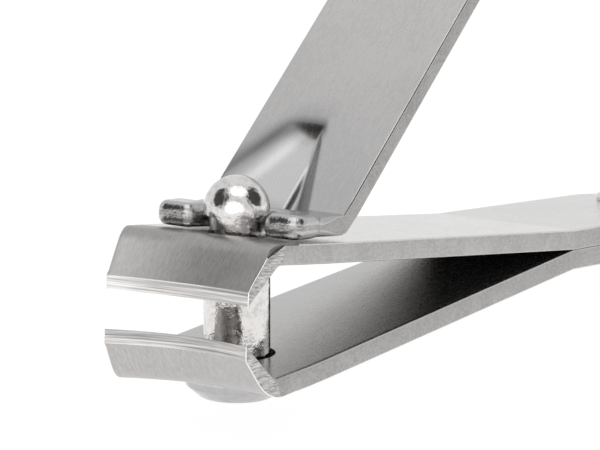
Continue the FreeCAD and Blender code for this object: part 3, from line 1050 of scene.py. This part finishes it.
def toned(tree, shader, mask, tone):
    """Pull the base colour towards a grey where a mask is 1."""
    mix = add(tree, "ShaderNodeMix", data_type="RGBA")
    link(tree, mask, mix.inputs["Factor"])
    link(tree, shader.inputs["Base Color"].links[0].from_socket, mix.inputs["A"])
    mix.inputs["B"].default_value = (tone, tone * 0.99, tone * 1.01, 1)
    link(tree, mix.outputs["Result"], shader.inputs["Base Color"])


def worn_tips(tree, shader):
    """Make the fork ends bright and lumpy, ahead of the post."""
    ahead = place_of(tree, "X")
    tips = ranged(tree, ahead, 0.0, 1.0, ORIGIN.x - 0.9 * MM, ORIGIN.x + 0.3 * MM)
    rough = add(tree, "ShaderNodeMix", data_type="FLOAT")
    link(tree, tips, rough.inputs["Factor"])
    link(tree, shader.inputs["Roughness"].links[0].from_socket, rough.inputs["A"])
    rough.inputs["B"].default_value = 0.17
    link(tree, rough.outputs["Result"], shader.inputs["Roughness"])
    lumps = noise(tree, mapped(tree, [cell(0.9)] * 3), 4.0, 0.65)
    under = shader.inputs["Normal"].links[0].from_socket
    bumped(tree, shader, joined(tree, "MULTIPLY", lumps, tips), 0.11 * MM, under=under)


def lever_finish():
    """Satin lever: fork ends worn bright, painted shade low down, painted shade and highlight on the
    gusset.
    """
    material = grained("lever_satin", 0.605, 0.03, 0.27, BRUSHED, turn=-STRIP_RISE,
                       depth=0.0003, cloud=1.6, patch_size=9.0)
    tree = material.node_tree
    shader = tree.nodes["Principled BSDF"]
    # Painted shade: the lever darker low down, towards its fold and foot.
    low_shade = ranged(tree, height_above(tree), 0.40, 0.0, 11.0 * MM, 24.0 * MM)
    toned(tree, shader, low_shade, 0.36)
    # Painted highlight on the gusset's facet, painted shade on its arc and near slope.
    mark = add(tree, "ShaderNodeAttribute", attribute_name="painted_gusset_shading")
    toned(tree, shader, ranged(tree, mark.outputs["Fac"], 0.0, 1.0, 0.0, -1.0), 0.80)
    toned(tree, shader, ranged(tree, mark.outputs["Fac"], 0.0, 1.0), 0.10)
    worn_tips(tree, shader)
    return material


def lever_side_finish():
    """Tumbled sides of the lever, bright at the fork ends."""
    material = grained("lever_side", 0.37, 0.07, 0.40, TUMBLED, depth=0.003, cloud=0.6)
    tree = material.node_tree
    worn_tips(tree, tree.nodes["Principled BSDF"])
    return material


def post_finish():
    """Bright nickel, its button painted darker: painted shade under the lower arm."""
    material = polished("post_nickel", 0.68, 0.08, 1.2, 0.06)
    tree = material.node_tree
    # Painted shade on the button under the lower arm.
    button = ranged(tree, height_above(tree), 0.75, 0.0, -1.9 * MM, -1.5 * MM)
    toned(tree, tree.nodes["Principled BSDF"], button, 0.40)
    return material


def eyelet_finish():
    """Bright nickel, smoother than the post."""
    return polished("eyelet_nickel", 0.68, 0.08, 1.2, 0.03)


def arm_finishes(prefix, tilt, side_tone, bevel_tone, face_tone, face_spread):
    """Finishes of one arm by surface: satin plate, tumbled sides, brushed jaw, ground bevel.

    tilt turns the grinding marks of the bevel and of the sides with the arm.
    """
    satin = {"depth": 0.0004, "cloud": 1.2, "patch_size": 6.0}
    face = grained(prefix + "_face", face_tone, face_spread, 0.36, JAW_BRUSHED,
                   depth=0.0015, cloud=0.2)
    # Bright rounded jaw edges: partly a ground burr, partly a painted highlight.
    burr_and_glint = grained(prefix + "_burr", 0.92, 0.05, 0.25, BURRED, depth=0.001, cloud=0.1)
    notch = burr_and_glint
    # The upper arm's near edge along the jaw bend is dark: painted shade in the notch there.
    if prefix == "upper":
        notch = grained("upper_notch_shade", 0.16, 0.05, 0.40, NOTCHED, depth=0.003, cloud=0.2)
    return {
        # One satin steel: the outer faces are painted lighter, the inner faces between the arms
        # darker,
        # as painted light and shade.
        "plate": grained(prefix + "_plate", 0.70, 0.03, 0.24, BRUSHED, **satin),
        "side": grained(prefix + "_side", side_tone, 0.07, 0.42, TUMBLED, depth=0.003, cloud=0.6),
        "bend": face,
        "face": face,
        "bevel": grained(prefix + "_bevel", bevel_tone, 0.30, 0.34, GROUND, turn=tilt, cloud=0.1),
        "inner": grained(prefix + "_inner", 0.51, 0.03, 0.24, BRUSHED, **satin),
        "facet": grained(prefix + "_facet", 0.48, 0.26, 0.34, GROUND_SHORT, turn=tilt, cloud=0.1),
        "burr_and_glint": burr_and_glint,
        "notch": notch,
    }


# --- floor, light and camera ----------------------------------------------------------------

FLOOR_REACH = 6.0
FLOOR_GAP = 0.00002


def make_floor():
    """Wide pale floor under the object."""
    mesh = bpy.data.meshes.new("floor")
    signs = ((-1, -1), (1, -1), (1, 1), (-1, 1))
    mesh.from_pydata([(x * FLOOR_REACH, y * FLOOR_REACH, 0) for x, y in signs], [], [(0, 1, 2, 3)])
    floor = bpy.data.objects.new("floor", mesh)
    bpy.context.scene.collection.objects.link(floor)
    floor.location.z = -FLOOR_GAP
    material, tree, shader = new_material("pale_floor")
    shader.inputs["Metallic"].default_value = 0.0
    shader.inputs["Roughness"].default_value = 1.0
    shader.inputs["Specular IOR Level"].default_value = 0.0
    paper = noise(tree, mapped(tree, (3, 3, 3)))
    colour = two_tone(tree, paper, [0.14] * 3, [0.17] * 3)
    link(tree, colour, shader.inputs["Base Color"])
    shader.inputs["Emission Color"].default_value = (1, 1, 1, 1)
    shader.inputs["Emission Strength"].default_value = 0.92
    mesh.materials.append(material)


def direction(azimuth, elevation):
    """Unit vector towards a viewer at that azimuth and elevation."""
    a, e = math.radians(azimuth), math.radians(elevation)
    return Vector((math.sin(a) * math.cos(e), -math.cos(a) * math.cos(e), math.sin(e)))


def make_lamp(name, azimuth, elevation, size, power):
    """Soft oval lamp that faces the object from a direction counted as for the view."""
    data = bpy.data.lights.new(name, "AREA")
    data.shape = "ELLIPSE"
    data.size, data.size_y = size
    data.energy = power
    lamp = bpy.data.objects.new(name, data)
    bpy.context.scene.collection.objects.link(lamp)
    back = direction(azimuth, elevation)
    lamp.location = VIEW_CENTRE + back * LAMP_DISTANCE
    lamp.rotation_euler = (-back).to_track_quat("-Z", "Y").to_euler()
    lamp.visible_camera = False


def make_world():
    """Pale even room with two dark gaps between its soft lights."""
    world = bpy.data.worlds.new("studio")
    bpy.context.scene.world = world
    world.use_nodes = True
    tree = world.node_tree
    background = tree.nodes["Background"]
    coordinates = add(tree, "ShaderNodeTexCoord")
    open_parts = []
    for gap in ROOM_GAPS:
        facing = add(tree, "ShaderNodeVectorMath", operation="DOT_PRODUCT")
        link(tree, coordinates.outputs["Generated"], facing.inputs[0])
        facing.inputs[1].default_value = direction(*gap)
        open_parts.append(ranged(tree, facing.outputs["Value"], 1.0, 0.0, *GAP_EDGE))
    light = joined(tree, "MULTIPLY", *open_parts)
    link(tree, two_tone(tree, light, GAP_COLOUR, ROOM_COLOUR), background.inputs["Color"])
    background.inputs["Strength"].default_value = ROOM_LIGHT


def make_camera():
    """Long lens at the angle of the view."""
    data = bpy.data.cameras.new("camera")
    data.sensor_width = 36.0
    data.lens = data.sensor_width * VIEW_DISTANCE / VIEW_WIDTH
    data.clip_end = 50
    camera = bpy.data.objects.new("camera", data)
    bpy.context.scene.collection.objects.link(camera)
    back = direction(VIEW_AZIMUTH, VIEW_ELEVATION)
    camera.location = VIEW_CENTRE + back * VIEW_DISTANCE
    camera.rotation_mode = "QUATERNION"
    camera.rotation_quaternion = (-back).to_track_quat("-Z", "Y")
    bpy.context.scene.camera = camera


make_floor()
make_world()
make_camera()
make_lamp("overhead", VIEW_AZIMUTH, 72, size=(0.7, 0.4), power=0.5)
make_lamp("front", VIEW_AZIMUTH - 8, 6, size=(0.7, 0.5), power=0.62)
bpy.context.scene.view_settings.view_transform = "Standard"

# The arms are one steel; the tones given here differ from arm to arm as painted light and shade,
# the upper jaw's face painted darkest.
make_lower_arm(arm_finishes("lower", 0, side_tone=0.405, bevel_tone=0.54, face_tone=0.50,
                            face_spread=0.07))
make_upper_arm(arm_finishes("upper", OPEN_ANGLE, side_tone=0.455, bevel_tone=0.61, face_tone=0.385,
                            face_spread=0.065))
make_upper_tail(arm_finishes("tail", TAIL_DROP, side_tone=0.43, bevel_tone=0.58, face_tone=0.46,
                             face_spread=0.1))
make_lever([lever_finish(), lever_side_finish()])
make_post(post_finish())
make_eyelet(eyelet_finish())
